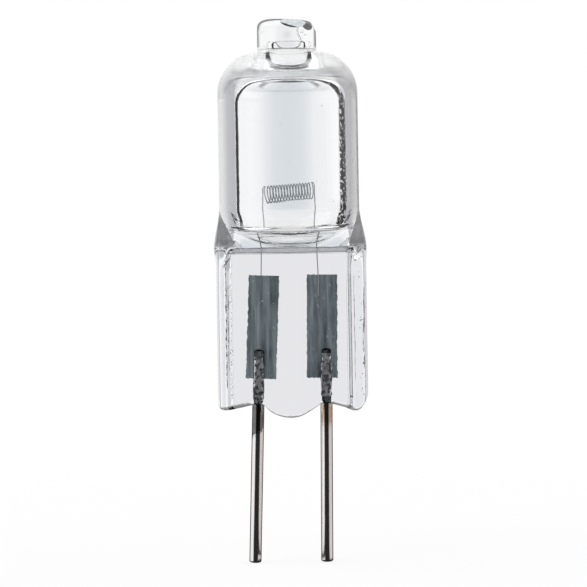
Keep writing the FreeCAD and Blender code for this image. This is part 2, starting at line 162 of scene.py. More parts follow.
# Fine lines of air drawn out in the ribs: across, depth, lower and upper end, radius.
AIR_LINES = [
    (-3.72, -1.3, 1.2, 8.1, 0.07), (-3.6, -1.2, 2.2, 7.0, 0.045), (-4.08, -0.7, 0.8, 8.2, 0.035),
    (3.32, -1.0, 1.0, 8.3, 0.016), (3.6, -1.35, 1.5, 7.5, 0.022), (4.18, -0.9, 1.2, 7.8, 0.04),
    (4.04, -1.1, 2.2, 6.8, 0.02),
]
AIR_STEP = 0.05
AIR_SWAY = 0.04
RIB_BUBBLES = 110
WALL_BUBBLES = 50

# Pins, foils and filament. Along a pin, lengths count from where it leaves the glass, up into it. SHEATH is
# the gap of air round each pin: lower end, upper end and radius at the upper end. LEG_ARCH has shares of
# LEG_OFFSET and drops below the coil's end, LEG_STEPS shares of the way from there to the weld.
PIN_SPACING = 3.9
PIN_RADIUS = 0.347
PIN_SEAL_RADIUS = 0.275
PIN_EMBEDMENT = 3.25
PIN_LEAN = {-1: math.radians(2.0), 1: math.radians(0.6)}
PIN_NECK = (0.22, 0.4)
PIN_FLOOR_GAP = 0.012
SHEATH = {-1: (0.25, 3.2, 0.31), 1: (0.45, 3.25, 0.33)}
SHEATH_START = 0.335
SHEATH_BEAD = 0.06
SHEATH_TO_FOIL = 0.03
FOIL_SIZE = (1.74, 5.9)
FOIL_GRID = (28, 90)
FOIL_RISE = 1.65
FOIL_DEPTH = 0.24
FOIL_THICKNESS = 0.02
FOIL_MIDDLE = {-1: -1.77, 1: 1.73}
FOIL_LEAN = {-1: math.radians(2.6), 1: math.radians(0.8)}
WIRE_RADIUS = 0.031
COIL_RADIUS = 0.48
COIL_PITCH = 0.165
COIL_TURNS = 16
COIL_MIDDLE = Vector((-0.04, 0.0, 12.23))
COIL_TILT = math.radians(4.0)
COIL_YAW = math.radians(12.5)
COIL_BOW = math.radians(1.5)
LEG_OFFSET = 0.16
LEG_ARCH = ((0.5, 0.0), (0.85, 0.06), (1.0, 0.2), (1.02, 0.5))
LEG_STEPS = (0.2, 0.4, 0.7)
LEG_WELD = {-1: -1.67, 1: 1.58}
LEG_OVERLAP = 1.2

# View
PHOTO_SIDE = 587
PIXELS_PER_MM = 17.5
PHOTO_CENTRE = Vector((0.166, 0.0, 6.486))
CAMERA_ROLL = math.radians(-0.92)
CAMERA_RISE = math.radians(1.5)
LENS = 180.0
SENSOR = 36.0
# Tint seen only in reflections at the right, in the floor and the world.
MIRROR_TINT = (0.7, 0.63, 0.63, 1.0)

# Softboxes: place in metres and watts.
SOFTBOX_SIZE = 0.7
SOFTBOXES = {"key_light": ((-0.35, -0.05, 0.4), 1.2), "fill_light": ((0.38, 0.05, 0.25), 0.7)}

# Looks of the glass. The marks are its regions, kept as vertex attributes. MIRROR_START is the facing at which
# the cavity's wall starts to mirror, where a dark line is painted on it, a painted reflection whose width is a
# share of facing too.
CAVITY_MARKS = ("cavity", "bore")
SKIN_MARKS = ("tube", "tip", "crown", "root", "foot", "facet")
QUARTZ_IOR = 1.458
QUARTZ_TINT = (0.72, 0.84, 0.9, 1.0)
# Pale of the painted reflection on the cavity's ceiling.
CEILING_PALE = (0.96, 0.97, 0.98, 1.0)
# Near black of painted shade: the ceiling's crease, the floor's loops and the gaps of air.
SHADE_DARK = (0.025, 0.028, 0.03, 1.0)
MIRROR_START = 0.268
LINE_WIDTH = 0.026
LINE_GROWTH = 0.034
FLOOR_OVAL = (0.36, 0.44, 0)


# Helpers

def lerp(a, b, t):
    return a + (b - a) * t


def clamp(t):
    return min(max(t, 0.0), 1.0)


def smooth(t):
    t = clamp(t)
    return t * t * (3 - 2 * t)


def step_up(height, start, length):
    """Rises smoothly from 0 to 1 over a length."""
    return smooth((height - start) / length)


def mix_points(a, b, t):
    return [(lerp(p[0], q[0], t), lerp(p[1], q[1], t)) for p, q in zip(a, b)]


def along_line(line, x):
    """Height of a line of (x, height) points at x, smooth between its points."""
    if x <= line[0][0]:
        return line[0][1]
    for number in range(len(line) - 1):
        (x0, y0), (x1, y1) = line[number], line[number + 1]
        if x <= x1:
            before = line[max(number - 1, 0)]
            after = line[min(number + 2, len(line) - 1)]
            slope0 = (y1 - before[1]) / (x1 - before[0]) * (x1 - x0)
            slope1 = (after[1] - y0) / (after[0] - x0) * (x1 - x0)
            t = (x - x0) / (x1 - x0)
            return (y0 * (2 * t**3 - 3 * t**2 + 1) + slope0 * (t**3 - 2 * t**2 + t)
                    + y1 * (3 * t**2 - 2 * t**3) + slope1 * (t**3 - t**2))
    return line[-1][1]


def curve_points(points, steps):
    """Points along a smooth curve through the given ones."""
    made = []
    for number in range(len(points) - 1):
        p1, p2 = Vector(points[number]), Vector(points[number + 1])
        p0 = Vector(points[number - 1]) if number else p1
        p3 = Vector(points[number + 2]) if number + 2 < len(points) else p2
        for step in range(steps):
            t = step / steps
            made.append((2 * p1 + (p2 - p0) * t + (2 * p0 - 5 * p1 + 4 * p2 - p3) * t**2
                         + (3 * p1 - p0 - 3 * p2 + p3) * t**3) / 2)
    made.append(Vector(points[-1]))
    return made


def soften(points, times):
    """Rounds the corners of a closed outline."""
    for _ in range(times):
        before, after = points[-1:] + points[:-1], points[1:] + points[:1]
        points = [a * 0.25 + p * 0.5 + b * 0.25 for a, p, b in zip(before, points, after)]
    return points


def waver(point, scale, seed):
    """Smooth noise from -1 to 1."""
    return noise.noise(Vector(point) / scale + Vector((seed, 2.3 * seed, -seed)))


def bridge(bm, lower, upper, closed=True):
    """Quads between two rows of vertices, which are rings if closed."""
    faces = []
    for i in range(len(lower) if closed else len(lower) - 1):
        j = (i + 1) % len(lower)
        faces.append(bm.faces.new((lower[i], lower[j], upper[j], upper[i])))
        faces[-1].smooth = True
    return faces


def add_rows(bm, rows):
    """Closed rings of points, joined by quads. Returns the rings' vertices and the faces."""
    rings = [[bm.verts.new(Vector(point) * MM) for point in row] for row in rows]
    faces = []
    for lower, upper in zip(rings, rings[1:]):
        faces += bridge(bm, lower, upper)
    return rings, faces


def add_fan(bm, ring, centre):
    """Closes a ring with triangles to a point."""
    pole = bm.verts.new(Vector(centre) * MM)
    faces = [bm.faces.new((ring[i], ring[(i + 1) % len(ring)], pole)) for i in range(len(ring))]
    for face in faces:
        face.smooth = True
    return faces


def orient(bm, faces, inward):
    bmesh.ops.recalc_face_normals(bm, faces=faces)
    if inward:
        bmesh.ops.reverse_faces(bm, faces=faces)


def linked_faces(verts):
    """The faces at some vertices, each once and in the same order each run."""
    return list(dict.fromkeys(face for vert in verts for face in vert.link_faces))


def finish_mesh(bm, name, material, sharp_degrees=40):
    """Turns a mesh into an object. Edges are sharp at steep angles and round faces marked flat."""
    for edge in bm.edges:
        steep = edge.is_manifold and edge.calc_face_angle() > math.radians(sharp_degrees)
        edge.smooth = not steep and all(face.smooth for face in edge.link_faces)
    mesh = bpy.data.meshes.new(name)
    bm.to_mesh(mesh)
    bm.free()
    mesh.materials.append(material)
    thing = bpy.data.objects.new(name, mesh)
    bpy.context.scene.collection.objects.link(thing)
    return thing


def dress(thing, node):
    """Puts a piece on the frame in place of its CAD node."""
    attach(thing, "root")
    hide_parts(node)


def tube_rows(path, radii, columns):
    """Rings of points round a path, without twist."""
    rows = []
    side = None
    for number, point in enumerate(path):
        ahead = path[min(number + 1, len(path) - 1)] - path[max(number - 1, 0)]
        ahead.normalize()
        if side is None:
            side = ahead.orthogonal()
        side = (side - ahead * side.dot(ahead)).normalized()
        across = ahead.cross(side)
        turns = [2 * math.pi * i / columns for i in range(columns)]
        rows.append([point + (side * math.cos(a) + across * math.sin(a)) * radii[number] for a in turns])
    return rows


def add_tube(bm, path, radii, columns, hollow=False):
    """A tube round a path, closed at both ends; a hollow one is a gap of air in the glass. Returns its rings."""
    rings, faces = add_rows(bm, tube_rows(path, radii, columns))
    faces += add_fan(bm, rings[0], path[0]) + add_fan(bm, rings[-1], path[-1])
    orient(bm, faces, hollow)
    return rings


# Glass

def quarter(height, side):
    """The outline's quarter from the middle of the front to the side, as (across, depth)."""
    flare = (FLARE_TOP - height) / (FLARE_TOP - LEDGE_TOP)
    flare = lerp(clamp(flare), smooth(flare), FLARE_EASE)
    ledge = smooth((LEDGE_TOP - height) / (LEDGE_TOP - LEDGE_FOOT))
    taper = smooth((LEDGE_TOP - height) / (LEDGE_TOP - RIB_SETTLED))
    angles = (CREASE_ANGLE, *RIB_ANGLES, math.pi / 2)
    tube = [(TUBE_RADIUS * math.sin(a), TUBE_RADIUS * math.cos(a)) for a in angles]
    keys = mix_points(tube, PINCH[side]["ledge"], flare)
    rib = mix_points(keys, PINCH[side]["rib"], taper)
    crease = mix_points(keys, PINCH[side]["rib"], ledge)[0]
    inner, outer, widest = rib[1:]
    front = lerp(lerp(TUBE_RADIUS, LEDGE_DEPTH, flare), WEB_DEPTH, ledge)
    points = []
    for step in range(QUARTER_STEPS[0]):
        angle = CREASE_ANGLE * step / QUARTER_STEPS[0]
        bow = (math.cos(angle) - math.cos(CREASE_ANGLE)) / (1 - math.cos(CREASE_ANGLE))
        points.append((crease[0] * math.sin(angle) / math.sin(CREASE_ANGLE), lerp(crease[1], front, bow)))
    for start, end, steps in ((crease, inner, QUARTER_STEPS[1]), (inner, outer, QUARTER_STEPS[2])):
        for step in range(steps):
            points.append((lerp(start[0], end[0], step / steps), lerp(start[1], end[1], step / steps)))
    for step in range(QUARTER_STEPS[3] + 1):
        angle = math.pi / 2 * step / QUARTER_STEPS[3]
        points.append((lerp(outer[0], widest[0], math.sin(angle)), outer[1] * math.cos(angle)))
    return points


def outline(height):
    """The closed outline of the glass at a height, from its left side by the front to its right side."""
    left = [Vector((-x, -y)) for x, y in reversed(quarter(height, -1))]
    right = [Vector((x, -y)) for x, y in quarter(height, 1)[1:]]
    front = left + right
    back = [Vector((p.x, -p.y)) for p in reversed(front[1:-1])]
    return soften(front + back, 2)


def heights():
    """Heights of the rows from the foot's start to the top of the flare."""
    levels = []
    for low, high, step in ROW_SPANS:
        count = round((high - low) / step)
        levels += [lerp(low, high, i / count) for i in range(count)]
    return levels


def foot_rows():
    """Rows that follow the lower edge of the pinch and turn under it."""
    base = outline(FOOT_START)
    rows = []
    for turn in FOOT_TURNS:
        angle = math.pi / 2 * turn
        inset, lift = FOOT_ROUND * (1 - math.cos(angle)), FOOT_ROUND * (1 - math.sin(angle))
        row = []
        for p in base:
            reach = 1 - inset / max(p.length, FOOT_ROUND)
            depth = math.copysign(max(abs(p.y) - inset, 0), p.y)
            row.append((p.x * reach, depth, along_line(FOOT_LINE, p.x) + lift))
        rows.append(row)
    for share in (0.0, 0.35, 0.65, 0.85):
        edge = [along_line(FOOT_LINE, p.x) + FOOT_ROUND for p in base]
        rows.append([(p.x, p.y, lerp(z, FOOT_START, share)) for p, z in zip(base, edge)])
    return rows


def corner_shares(steps):
    """Points round a quarter of a squarish ellipse, as shares of its width and height."""
    angles = [math.pi / 2 * step / steps for step in range(steps + 1)]
    return [(abs(math.cos(a)) ** (2 / EDGE_POWER), math.sin(a) ** (2 / EDGE_POWER)) for a in angles]


def top_rows():
    """Round rows over the tube, the shoulder and the exhaust tip."""
    shoulder_start = SHOULDER_TOP - SHOULDER_RADIUS
    profile = [(TUBE_RADIUS, lerp(FLARE_TOP, shoulder_start, i / 14)) for i in range(14)]
    for step in range(25):
        angle = SHOULDER_SWEEP * step / 24
        across = TUBE_RADIUS - SHOULDER_RADIUS * (1 - math.cos(angle))
        profile.append((across, shoulder_start + SHOULDER_RADIUS * math.sin(angle)))
    for step in range(1, 6):
        angle = math.pi / 2 * step / 6
        rise = SHOULDER_TOP + TIP_ROOT * (1 - math.cos(angle))
        profile.append((TIP_RADIUS + TIP_ROOT * (1 - math.sin(angle)), rise))
    edge_start = TIP_TOP - TIP_EDGE[1]
    profile += [(TIP_RADIUS, lerp(SHOULDER_TOP + TIP_ROOT, edge_start, i / 10)) for i in range(10)]
    for wide, tall in corner_shares(14):
        profile.append((TIP_RADIUS - TIP_EDGE[0] * (1 - wide), edge_start + TIP_EDGE[1] * tall))
    profile += [(across, TIP_TOP) for across in (0.7, 0.4)]
    unit = [p / TUBE_RADIUS for p in outline(FLARE_TOP)]
    rows = []
    for across, height in profile:
        melt = step_up(height, SHOULDER_TOP, MELT_RISE)
        row = []
        for p in unit:
            spread = 1 + MELT_WAVE * melt * waver((p.x * 2, p.y * 2, height), 1.2, SEED)
            slump = melt * (TIP_SLUMP + TIP_LEAN * p.x * across)
            row.append((p.x * across * spread, p.y * across * spread, height - slump))
        rows.append(row)
    return rows


def roughen(row):
    """The pressed faces of the pinch are not quite even."""
    made = []
    for x, y, z in row:
        amount = PRESS_WAVE * smooth((LEDGE_FOOT - z) / 0.6) * y / WEB_DEPTH
        made.append((x, y + amount * waver((x, y, z * 0.6), 0.9, SEED), z))
    return made


def add_outer(bm):
    """The outer skin, from the foot of the pinch to the tip."""
    middle = [[(p.x, p.y, z) for p in outline(z)] for z in heights()]
    rows = [roughen(row) for row in foot_rows() + middle] + top_rows()
    rings, faces = add_rows(bm, rows)
    faces += add_fan(bm, rings[-1], (0, 0, TIP_TOP - TIP_DIP))
    faces += add_sole(bm, rings[0])
    orient(bm, faces, False)
    return rings


def add_sole(bm, ring):
    """The underside of the pinch, in strips from the front edge to the back one."""
    half = len(ring) // 2
    strips = 8
    columns = []
    for i in range(1, half):
        front, back = ring[i], ring[-i]
        inner = [bm.verts.new(front.co.lerp(back.co, s / strips)) for s in range(1, strips)]
        columns.append([front, *inner, back])
    faces = []
    for here, there in zip(columns, columns[1:]):
        for s in range(strips):
            faces.append(bm.faces.new((here[s], there[s], there[s + 1], here[s + 1])))
    for column, end in ((columns[0], ring[0]), (columns[-1], ring[half])):
        for s in range(strips):
            faces.append(bm.faces.new((column[s], column[s + 1], end)))
    for face in faces:
        face.smooth = True
    return faces


def add_cavity(bm):
    """The sealed cavity with the exhaust bore, from its floor to the drop."""
    turns = [2 * math.pi * i / CAVITY_COLUMNS for i in range(CAVITY_COLUMNS)]

    def ring(width, depth, height, square=2.0):
        row = []
        for a in turns:
            c, s = math.cos(a), math.sin(a)
            x = math.copysign(abs(c) ** (2 / square), c) * width
            y = math.copysign(abs(s) ** (2 / square), s) * depth
            row.append((CAVITY_SHIFT + x, y, height))
        return row

    def throat(height):
        """Half width and depth of the cavity, an even wall inside the flare."""
        front = -outline(height)[half].y
        width = lerp(CAVITY_RADIUS - THROAT_INSET, CAVITY_RADIUS, smooth(height - floor_top))
        return width, min(front - WALL, CAVITY_RADIUS)

    half = sum(QUARTER_STEPS)
    floor_top = CAVITY_FLOOR + FLOOR_CORNER[1]
    width, depth = throat(floor_top)
    rows = [ring(width * share, depth * share, CAVITY_FLOOR, FLOOR_POWER) for share in (0.3, 0.6, 0.8)]
    for wide, tall in reversed(corner_shares(16)):
        inset = FLOOR_CORNER[0] * (1 - wide)
        square = lerp(2.0, FLOOR_POWER, smooth(tall))
        rows.append(ring(width - inset, depth - inset, floor_top - FLOOR_CORNER[1] * tall, square))
    for step in range(1, 23):
        height = lerp(floor_top, FLARE_TOP, step / 22)
        rows.append(ring(*throat(height), height))
    corner_start = CAVITY_TOP - CAVITY_CORNER[1]
    rows += [ring(CAVITY_RADIUS, CAVITY_RADIUS, lerp(FLARE_TOP, corner_start, i / 16)) for i in range(1, 16)]
    for wide, tall in corner_shares(24):
        across = CAVITY_RADIUS - CAVITY_CORNER[0] * (1 - wide)
        rows.append(ring(across, across, corner_start + CAVITY_CORNER[1] * tall))
    for across, height in curve_points(BORE_LINE, 4) + curve_points(DROP_LINE, 4):
        rows.append(ring(across, across, height))
    rings, faces = add_rows(bm, rows)
    faces += add_fan(bm, rings[-1], (CAVITY_SHIFT, 0, DROP_LINE[-1][1] - 0.01))
    faces += add_fan(bm, rings[0], (CAVITY_SHIFT, 0, CAVITY_FLOOR))
    orient(bm, faces, True)
    return rings


def chip_tip(bm):
    """Breaks the rim of the tip at the front right."""
    chip = bm.faces.layers.float["chip"]
    for place, normal, pale in CHIPS:
        faces = [f for f in bm.faces if min(v.co.z for v in f.verts) > CHIP_START * MM]
        verts = dict.fromkeys(v for f in faces for v in f.verts)
        edges = dict.fromkeys(e for f in faces for e in f.edges)
        cut = bmesh.ops.bisect_plane(bm, geom=[*verts, *edges, *faces], dist=1e-7, plane_co=Vector(place) * MM,
                                     plane_no=Vector(normal).normalized(), clear_outer=True)
        rim = [e for e in cut["geom_cut"] if isinstance(e, bmesh.types.BMEdge) and e.is_boundary]
        for face in bmesh.ops.contextual_create(bm, geom=rim)["faces"]:
            face[chip] = pale
            face.smooth = False


def add_flaws(bm):
    """The crack and flakes by the chip and the air lines in the ribs."""
    path = curve_points(CRACK, 6)
    radii = [CRACK_RADIUS + CRACK_WAVE * waver(p, 0.15, SEED) for p in path]
    rings = add_tube(bm, path, radii, 10, hollow=True)
    for number, (x, y, z, radius) in enumerate(FLAKES):
        lean = Matrix.Rotation(0.7 * number + 0.4, 4, (1, 0.6, 0.3))
        place = Matrix.Translation(Vector((x, y, z)) * MM) @ lean @ Matrix.Diagonal((1, 0.35, 0.8, 1))
        made = bmesh.ops.create_cube(bm, size=2 * radius * MM, matrix=place)
        bmesh.ops.reverse_faces(bm, faces=linked_faces(made["verts"]))
    for number, (x, y, low, high, radius) in enumerate(AIR_LINES):
        path, radii = [], []
        steps = round((high - low) / AIR_STEP)
        for step in range(steps + 1):
            height = lerp(low, high, step / steps)
            sway = AIR_SWAY * waver((number, 0, height), 1.5, SEED)
            path.append(Vector((x + sway, y, height)))
            ends = math.sin(math.pi * clamp(0.02 + 0.96 * step / steps)) ** 0.3
            radii.append(radius * ends * (0.65 + 0.6 * waver((0, number, height), 0.4, SEED)))
        rings += add_tube(bm, path, radii, 8, hollow=True)
    return rings


def pin_point(side, along):
    """A point on a pin's axis, measured from where it leaves the glass, up into it."""
    lean = PIN_LEAN[side]
    return Vector((side * PIN_SPACING / 2 + along * math.sin(lean), 0, along * math.cos(lean)))


def add_sheath(bm, side):
    """The thin gap of air round the end of a pin that the glass didn't wet."""
    steps = 48
    low, high, reach = SHEATH[side]
    path = [pin_point(side, lerp(low, high, i / steps)) for i in range(steps + 1)]
    radii = []
    for number, point in enumerate(path):
        share = number / steps
        bead = SHEATH_BEAD * waver((0, 0, point.z), 0.3, SEED + side)
        end = math.sqrt(max(1 - (2 * share - 1) ** 8, 0.0004))
        radii.append((lerp(SHEATH_START, reach, smooth(share * 1.6)) + bead) * end)
    rings = add_tube(bm, path, radii, 32, hollow=True)
    for ring in rings:
        for vert in ring:
            vert.co.y = min(vert.co.y, (FOIL_DEPTH - SHEATH_TO_FOIL) * MM)
    return rings


def add_bubbles(bm, mark):
    """Small bubbles along the ribs and in the walls, with their mark set."""
    draw = random.Random(SEED)
    spots = []
    for _ in range(RIB_BUBBLES):
        left = draw.random() < 0.7
        across = draw.gauss(-3.46, 0.05) if left else draw.gauss(4.0, 0.12)
        depth = draw.uniform(0.8, 1.0) if left else draw.uniform(0.9, 1.2)
        spots.append((across, -depth, draw.uniform(0.6, 8.4), draw.uniform(0.012, 0.03)))
    for _ in range(WALL_BUBBLES):
        angle = draw.uniform(0, 2 * math.pi)
        reach = draw.uniform(3.35, 3.85)
        height = draw.uniform(11.5, 17.5)
        spots.append((reach * math.cos(angle), reach * math.sin(angle), height, draw.uniform(0.01, 0.025)))
    for x, y, z, radius in spots:
        place = Matrix.Translation(Vector((x, y, z)) * MM) @ Matrix.Scale(draw.uniform(1, 3), 4, (0, 0, 1))
        made = bmesh.ops.create_icosphere(bm, subdivisions=2, radius=radius * MM, matrix=place)
        faces = linked_faces(made["verts"])
        for face in faces:
            face.smooth = True
        for vert in made["verts"]:
            vert[mark] = 1.0
        bmesh.ops.reverse_faces(bm, faces=faces)


def facet_share(column, height):
    """How much a place on the outer glass belongs to the flat sides of the flare or to the ledge."""
    half = sum(QUARTER_STEPS)
    from_middle = abs(min(column, 4 * half - column) - half)
    if from_middle > QUARTER_STEPS[0]:
        return step_up(height, LEDGE_TOP, 0.08) * smooth((FLARE_TOP - height) / 0.5)
    return smooth((LEDGE_TOP - height) / 0.06) * step_up(height, LEDGE_FOOT, 0.06)


def skin_marks(row, column, height):
    """How much a place on the outer glass belongs to each of its regions."""
    tip = step_up(height, SHOULDER_TOP + TIP_ROOT, 0.1)
    return {
        "tube": 1 - step_up(height, 18.2, 1.6),
        "tip": tip,
        "crown": step_up(height, SHOULDER_TOP - 0.5, 0.3) - tip,
        "root": step_up(height, SHOULDER_TOP - 0.03, 0.03) - tip,
        "foot": 1.0 if row < len(FOOT_TURNS) else 0.0,
        "facet": facet_share(column, height),
    }


def make_glass(material):
    bm = bmesh.new()
    bm.faces.layers.float.new("chip")
    marks = {name: bm.verts.layers.float.new(name) for name in CAVITY_MARKS + SKIN_MARKS}
    for row, ring in enumerate(add_outer(bm)):
        for column, vert in enumerate(ring):
            for name, share in skin_marks(row, column, vert.co.z / MM).items():
                vert[marks[name]] = share
    chip_tip(bm)
    for ring in add_cavity(bm):
        for vert in ring:
            vert[marks["cavity"]] = 1.0
            vert[marks["bore"]] = step_up(vert.co.z / MM, CAVITY_TOP + 0.02, 0.1)
    for ring in add_sheath(bm, -1) + add_sheath(bm, 1) + add_flaws(bm):
        for vert in ring:
            vert[marks["cavity"]] = 1.0
    add_bubbles(bm, marks["cavity"])
    return finish_mesh(bm, "glass", material, 50)


# Metal

def make_pin(side, material):
    """A drawn wire with a bevelled end, narrower where it is sealed in the glass."""
    steps = 90
    neck_start, neck_end = PIN_NECK
    low = floor_level / math.cos(PIN_LEAN[side]) + PIN_FLOOR_GAP
    bottom = [(low, 0.2), (low + 0.03, 0.29), (low + 0.08, PIN_RADIUS)]
    wall = [(lerp(low + 0.1, neck_start, i / steps), PIN_RADIUS) for i in range(steps + 1)]
    neck = [(lerp(neck_start, neck_end, i / 8), lerp(PIN_RADIUS, PIN_SEAL_RADIUS, smooth(i / 8)))
            for i in range(1, 9)]
    seal = [(lerp(neck_end, PIN_EMBEDMENT, i / 40), PIN_SEAL_RADIUS) for i in range(1, 41)]
    top = [(PIN_EMBEDMENT + 0.05, 0.2), (PIN_EMBEDMENT + 0.08, 0.05)]
    path, radii = [], []
    for along, radius in bottom + wall + neck + seal + top:
        point = pin_point(side, along)
        path.append(point)
        uneven = 0.004 if along < 0 else 0.02
        radii.append(radius * (1 + uneven * waver((side, 0, along), 0.5, SEED)))
    bm = bmesh.new()
    add_tube(bm, path, radii, 40)
    name = "left_pin" if side < 0 else "right_pin"
    pin = finish_mesh(bm, name + "_wire", material, 50)
    dress(pin, name)


def foil_point(side, face, u, v):
    """A point on one face of a foil, u from -1 to 1 across and v from 0 to 1 up it."""
    width, length = FOIL_SIZE
    rough = 0.045 * waver((u * 0.4, 0, v * length), 0.16, SEED + side) * abs(u) ** 6
    torn = 0.05 * waver((u * width, 0, 5 * round(v)), 0.2, SEED) * abs(2 * v - 1) ** 20
    wave = 0.012 * waver((u * width * 2, 0, v * length), 1.1, SEED)
    thick = face * FOIL_THICKNESS / 2 * (1 - 0.7 * abs(u) ** 4)
    local = Vector((u * width / 2 + rough, thick, v * length + torn))
    lean = Matrix.Rotation(FOIL_LEAN[side], 4, "Y")
    return lean @ local + Vector((FOIL_MIDDLE[side], FOIL_DEPTH + wave, FOIL_RISE))


def grid_rim(grid):
    """The outer vertices of a grid, in order."""
    right = [row[-1] for row in grid[:-1]]
    left = [row[0] for row in grid[:0:-1]]
    return grid[0][:-1] + right + grid[-1][:0:-1] + left


def make_foil(side, material):
    """A thin strip with torn edges and a slight wave."""
    columns, rows = FOIL_GRID
    across = [2 * i / columns - 1 for i in range(columns + 1)]
    bm = bmesh.new()
    sheets = []
    for face in (-1, 1):
        points = [[foil_point(side, face, u, j / rows) for u in across] for j in range(rows + 1)]
        sheets.append([[bm.verts.new(point * MM) for point in row] for row in points])
    faces = []
    for grid in sheets:
        for lower, upper in zip(grid, grid[1:]):
            faces += bridge(bm, lower, upper, closed=False)
    front, back = (grid_rim(grid) for grid in sheets)
    faces += bridge(bm, front, back)
    orient(bm, faces, False)
    name = "left_foil" if side < 0 else "right_foil"
    foil = finish_mesh(bm, name + "_strip", material, 50)
    dress(foil, name)


def coil_point(turn):
    """A point of the coil, which starts and ends at its top and is slightly bowed."""
    place = (turn - COIL_TURNS / 2) * COIL_PITCH
    yaw = COIL_YAW + COIL_BOW * place
    flat = Vector((math.cos(yaw), -math.sin(yaw), 0))
    along = flat * math.cos(COIL_TILT) + Vector((0, 0, math.sin(COIL_TILT)))
    back = Vector((0, 0, 1)).cross(along).normalized()
    up = along.cross(back)
    forward = math.sin((COIL_YAW + yaw) / 2)
    axis = Vector((place * math.cos(COIL_TILT), -place * forward, place * math.sin(COIL_TILT)))
    angle = 2 * math.pi * (turn + 0.25)
    radius = COIL_RADIUS * (1 + 0.02 * waver((turn, 0, 0), 1.3, SEED))
    return COIL_MIDDLE + axis + (back * math.cos(angle) + up * math.sin(angle)) * radius


def leg_points(side):
    """A leg from the coil's end, over a small arch, down to its weld on the foil."""
    end = coil_point(0.0 if side < 0 else COIL_TURNS)
    foil_top = FOIL_RISE + FOIL_SIZE[1]
    depth = FOIL_DEPTH - side * (WIRE_RADIUS + FOIL_THICKNESS / 2)
    weld = Vector((LEG_WELD[side], depth, foil_top))
    arch = [Vector((end.x + side * LEG_OFFSET * out, end.y, end.z - drop)) for out, drop in LEG_ARCH]
    shank = [arch[-1].lerp(weld, share) for share in LEG_STEPS]
    tail = weld - Vector((math.sin(FOIL_LEAN[side]) * LEG_OVERLAP, 0, LEG_OVERLAP))
    return [end, *arch, *shank, weld, tail]


def make_filament(material):
    """The coil and both legs as one wire."""
    turns = round(COIL_TURNS * 28)
    coil = [coil_point(COIL_TURNS * i / turns) for i in range(turns + 1)]
    left = curve_points(leg_points(-1), 12)
    right = curve_points(leg_points(1), 12)
    path = left[:0:-1] + coil + right[1:]
    bm = bmesh.new()
    add_tube(bm, path, [WIRE_RADIUS] * len(path), 12)
    wire = finish_mesh(bm, "filament_wire", material, 60)
    dress(wire, "filament")


# Materials

class Graph:
    """The node tree of a material or world, built node by node."""

    def __init__(self, owner):
        self.owner = owner
        owner.use_nodes = True
        self.tree = owner.node_tree
        self.tree.nodes.clear()

    def add(self, kind, inputs=None, **settings):
        """A node whose inputs are set to values, or linked to other nodes' outputs."""
        node = self.tree.nodes.new(kind)
        for key, value in settings.items():
            setattr(node, key, value)
        for key, value in (inputs or {}).items():
            if isinstance(value, bpy.types.NodeSocket):
                self.tree.links.new(value, node.inputs[key])
            else:
                node.inputs[key].default_value = value
        return node

    def math(self, operation, a, b=0.0):
        return self.add("ShaderNodeMath", {0: a, 1: b}, operation=operation).outputs[0]

    def times(self, first, *others):
        for other in others:
            first = self.math("MULTIPLY", first, other)
        return first

    def plus(self, a, b):
        return self.math("ADD", a, b)

    def minus(self, a, b):
        return self.math("SUBTRACT", a, b)

    def most(self, first, *others):
        """The largest of some values."""
        for other in others:
            first = self.math("MAXIMUM", first, other)
        return first

    def rest(self, share):
        """What a share leaves of the whole."""
        return self.math("SUBTRACT", 1.0, share)

    def split(self, vector):
        return self.add("ShaderNodeSeparateXYZ", {0: vector}).outputs

    def measure(self, operation, vector, other=(0, 0, 0)):
        """A number from vectors: LENGTH, DISTANCE or DOT_PRODUCT."""
        return self.add("ShaderNodeVectorMath", {0: vector, 1: other}, operation=operation).outputs["Value"]

    def mix(self, share, a, b, blend="MIX"):
        inputs = {0: share, 6: a, 7: b}
        return self.add("ShaderNodeMix", inputs, data_type="RGBA", blend_type=blend).outputs[2]

    def ramp(self, value, stops):
        """Colours along a value from 0 to 1: stops are (place, grey or colour)."""
        node = self.add("ShaderNodeValToRGB", {0: value})
        elements = node.color_ramp.elements
        while len(elements) < len(stops):
            elements.new(0.5)
        for element, (place, colour) in zip(elements, stops):
            element.position = place
            element.color = grey(colour) if isinstance(colour, float) else colour
        return node.outputs[0]

    def level(self, value, stops):
        """A plain number along a value from 0 to 1."""
        return self.add("ShaderNodeRGBToBW", {0: self.ramp(value, stops)}).outputs[0]

    def profile(self, length, stops):
        """A plain number along a length in millimetres, level beyond the first and the last stop."""
        low, high = stops[0][0], stops[-1][0]
        share = self.math("DIVIDE", self.minus(length, low), high - low)
        return self.level(share, [((at - low) / (high - low), level) for at, level in stops])

    def attribute(self, name):
        return self.add("ShaderNodeAttribute", attribute_name=name).outputs["Fac"]

    def facing(self):
        """How far a face is turned away from the ray: 0 is straight on and 1 edge-on."""
        return self.add("ShaderNodeLayerWeight", {"Blend": 0.5}).outputs["Facing"]

    def noise(self, vector, scale, detail=3.0, roughness=0.5):
        inputs = {"Vector": vector, "Scale": scale, "Detail": detail, "Roughness": roughness}
        return self.add("ShaderNodeTexNoise", inputs).outputs[0]

    def grain(self, *settings):
        """Noise about zero."""
        return self.minus(self.noise(*settings), 0.5)

    def place(self, stretch=(1, 1, 1)):
        """Object coordinates in millimetres, stretched if asked."""
        at = self.add("ShaderNodeTexCoord").outputs["Object"]
        scale = [share / MM for share in stretch]
        return self.add("ShaderNodeMapping", {"Vector": at, "Scale": scale}).outputs[0]

    def bump(self, height, strength, millimetres):
        inputs = {"Height": height, "Strength": strength, "Distance": millimetres * MM}
        return self.add("ShaderNodeBump", inputs).outputs[0]

    def surface(self, inputs):
        shader = self.add("ShaderNodeBsdfPrincipled", inputs)
        return self.add("ShaderNodeOutputMaterial", {"Surface": shader.outputs[0]})


def grey(level):
    return (level, level, level, 1.0)


